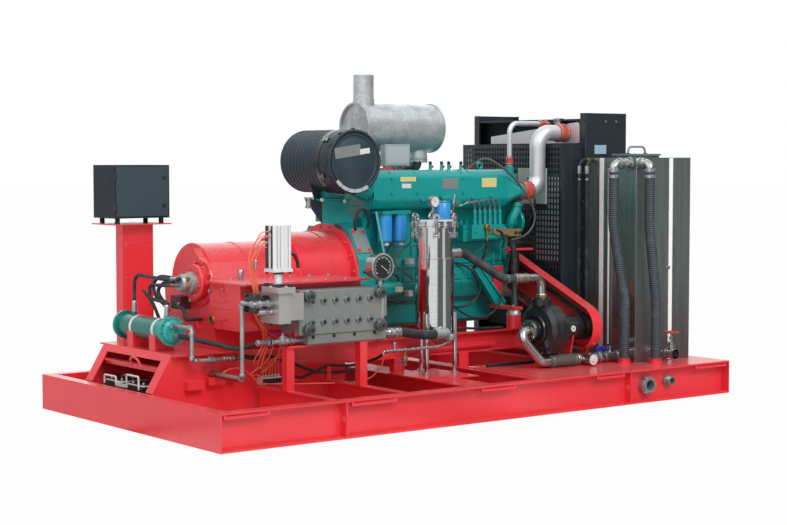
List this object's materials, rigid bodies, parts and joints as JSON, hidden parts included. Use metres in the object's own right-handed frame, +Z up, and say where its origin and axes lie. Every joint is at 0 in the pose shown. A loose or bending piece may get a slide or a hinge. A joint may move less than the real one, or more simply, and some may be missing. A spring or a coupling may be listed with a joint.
{
  "type": "high-pressure pump skid",
  "caption": "Skid-mounted high-pressure water pump driven by a diesel engine, with radiator, water tank, bag filter and belt-driven booster pump on a red steel base.",
  "frame": {"origin": "on the floor under the middle of the base frame", "axes": "+X along the base from the pump end to the radiator end, +Y away from the fluid end side, +Z up"},
  "size_m": [4.584, 2.44, 2.432],
  "materials": {
    "actuator_paint": "satin",
    "black_paint": "satin",
    "black_plastic": "matte",
    "cast_aluminium": "satin",
    "cast_metal": "matte",
    "cleaner_plastic": "matte",
    "cooler_paint": "gloss",
    "core_aluminium": "matte",
    "dark_red_paint": "satin",
    "filter_paint": "gloss",
    "green_paint": "satin",
    "hose_rubber": "matte",
    "lever_paint": "gloss",
    "light_grey_paint": "satin",
    "muffler_metal": "satin",
    "plug_steel": "satin",
    "pulley_iron": "satin",
    "red_paint": "satin",
    "slate_paint": "satin",
    "stainless": "satin",
    "teal_paint": "gloss",
    "tube_plastic": "gloss",
    "wheel_paint": "gloss",
    "zinc": "matte"
  },
  "bodies": {
    "skid": {"air_cleaner": "cleaner_plastic", "air_tubes": "tube_plastic", "bag_filter": "stainless", "ball_valve": "stainless", "batteries": "black_plastic", "belt_guard": "red_paint", "booster_pump": "black_paint", "booster_stand": "red_paint", "charge_air_pipe": "cast_aluminium", "charge_air_tank": "cast_aluminium", "control_box": "black_paint", "coupling_housing": "dark_red_paint", "crankcase_cover": "dark_red_paint", "cross_beams": "red_paint", "cylinder_heads": "teal_paint", "deck_plates": "red_paint", "discharge_block": "green_paint", "drain_pipes": "zinc", "drive_belt": "hose_rubber", "drive_pulleys": "pulley_iron", "end_channels": "red_paint", "engine_block": "teal_paint", "engine_mounts": "red_paint", "engine_rails": "red_paint", "exhaust_manifold": "cast_metal", "fan_guard": "slate_paint", "fan_shroud": "slate_paint", "filter_lid": "stainless", "floor_plate": "red_paint", "fluid_end": "green_paint", "fluid_end_plugs": "plug_steel", "gate_valve": "stainless", "hydraulic_hoses": "hose_rubber", "injection_pump": "teal_paint", "intake_manifold": "teal_paint", "junction_box": "light_grey_paint", "lube_system": "cast_metal", "muffler": "muffler_metal", "oil_cooler": "cooler_paint", "oil_sump": "teal_paint", "panel_post": "red_paint", "pressure_gauge": "stainless", "pump_crankcase": "red_paint", "pump_pedestal": "red_paint", "radiator_core": "core_aluminium", "radiator_frame": "slate_paint", "side_channels": "red_paint", "spin_on_filters": "filter_paint", "suction_manifold": "green_paint", "tank_elbows": "stainless", "tank_hoses": "hose_rubber", "tank_lid": "slate_paint", "tank_roof": "stainless", "tank_shell": "stainless", "unloader_actuator": "actuator_paint", "water_hoses": "hose_rubber", "water_pipes": "stainless", "water_ports": "zinc"},
    "lever": {"ball_valve_lever": "lever_paint"},
    "handwheel": {"gate_handwheel": "wheel_paint"}
  },
  "joints": [
    {"name": "lever_turn", "type": "hinge", "parent": "skid", "child": "lever", "pos_m": [1.49, -0.733, 0.352], "axis": [0, 0, -1], "range_deg": [0, 90]},
    {"name": "handwheel_turn", "type": "hinge", "parent": "skid", "child": "handwheel", "pos_m": [1.878, -1, 0.47], "axis": [0, 0, 1], "range_deg": [0, 2160]}
  ]
}
